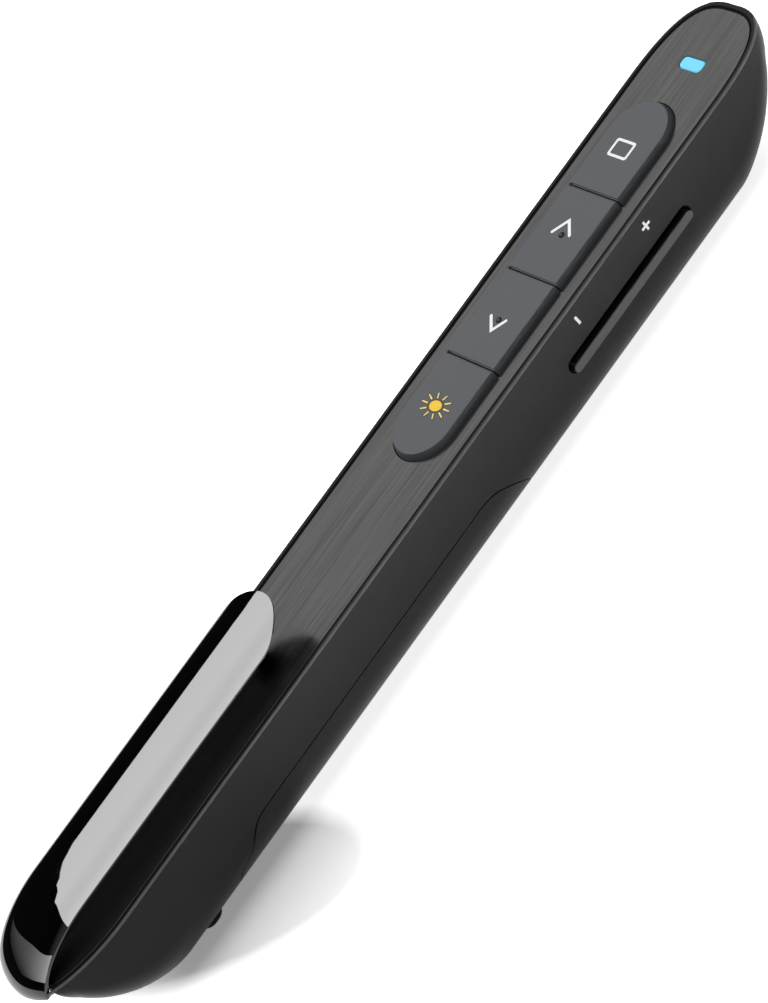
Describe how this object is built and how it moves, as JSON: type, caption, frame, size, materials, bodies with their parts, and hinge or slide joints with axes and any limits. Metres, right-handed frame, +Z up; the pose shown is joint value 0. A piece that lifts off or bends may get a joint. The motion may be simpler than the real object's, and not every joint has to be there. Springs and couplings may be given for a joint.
{
  "type": "wireless presenter pen with laser pointer",
  "caption": "Slim hand-held wireless presenter with laser: D-section body, brushed top plate, raised key strip, side volume rocker, tail pocket clip and removable battery cover.",
  "frame": {"origin": "on the flat of the underside, on the mid-plane, half-way along the body", "axes": "+X along the body out of the laser end, +Y to the left, +Z up through the key strip"},
  "size_m": [0.1532, 0.0177, 0.0231],
  "materials": {
    "shell": "fine satin black moulded plastic",
    "plate": "dark grey, brushed along its length",
    "keys": "satin grey",
    "clip": "piano black, mirror gloss",
    "inner_frame": "matt",
    "steel": "plated",
    "chip": "moulded",
    "window": "lit pale blue",
    "led": "clear lens",
    "board": "solder mask",
    "film": "amber film",
    "cell": "plain blue sleeve",
    "brass": "turned",
    "gilt": "gilt",
    "lens": "clear"
  },
  "bodies": {
    "root": {"housing": "shell", "top_plate": "plate", "carrier_frame": "inner_frame", "frame_screw_front": "steel", "frame_screw_rear": "steel", "crystal": "steel", "rocker_pin": "steel", "volume_down_switch": "steel", "volume_up_switch": "steel", "power_switch_body": "steel", "battery_spring": "steel", "negative_contact": "steel", "positive_contact": "steel", "usb_receiver_plug": "steel", "aperture_ring": "steel", "clip_pin": "steel", "laser_key_switch": "steel", "previous_key_switch": "steel", "next_key_switch": "steel", "blank_screen_key_switch": "steel", "radio_chip": "chip", "usb_receiver_cap": "chip", "status_light_window": "window", "status_led": "led", "main_board": "board", "volume_board": "board", "power_board": "board", "switch_ribbon": "film", "battery": "cell", "laser_barrel": "brass", "laser_diode": "gilt", "laser_lens": "lens"},
    "volume_rocker": {"volume_rocker": "shell"},
    "power_switch_knob": {"power_switch_knob": "shell"},
    "battery_cover": {"battery_cover": "shell"},
    "pocket_clip": {"pocket_clip": "clip"},
    "laser_key": {"laser_key": "keys", "laser_key_switch_button": "chip"},
    "previous_key": {"previous_key": "keys", "previous_key_switch_button": "chip"},
    "next_key": {"next_key": "keys", "next_key_switch_button": "chip"},
    "blank_screen_key": {"blank_screen_key": "keys", "blank_screen_key_switch_button": "chip"}
  },
  "joints": [
    {"name": "laser_key_press", "type": "slide", "parent": "root", "child": "laser_key", "axis": [0, 0, -1], "range_m": [0, 0.0003], "stiffness_N_per_m": 3000},
    {"name": "previous_key_press", "type": "slide", "parent": "root", "child": "previous_key", "axis": [0, 0, -1], "range_m": [0, 0.0003], "stiffness_N_per_m": 3000},
    {"name": "next_key_press", "type": "slide", "parent": "root", "child": "next_key", "axis": [0, 0, -1], "range_m": [0, 0.0003], "stiffness_N_per_m": 3000},
    {"name": "blank_screen_key_press", "type": "slide", "parent": "root", "child": "blank_screen_key", "axis": [0, 0, -1], "range_m": [0, 0.0003], "stiffness_N_per_m": 3000},
    {"name": "volume_rock", "type": "hinge", "parent": "root", "child": "volume_rocker", "pos_m": [0.0381, -0.0059, 0.0093], "axis": [0, 0, 1], "range_deg": [-2, 2], "stiffness_Nm_per_rad": 0.3},
    {"name": "power_slide", "type": "slide", "parent": "root", "child": "power_switch_knob", "axis": [1, 0, 0], "range_m": [0, 0.002]},
    {"name": "battery_cover_off", "type": "slide", "parent": "root", "child": "battery_cover", "axis": [0, 0, -1], "range_m": [0, 0.02]},
    {"name": "clip_open", "type": "hinge", "parent": "root", "child": "pocket_clip", "pos_m": [-0.0712, 0, 0.0124], "axis": [0, -1, 0], "range_deg": [0, 5], "stiffness_Nm_per_rad": 1.5}
  ]
}
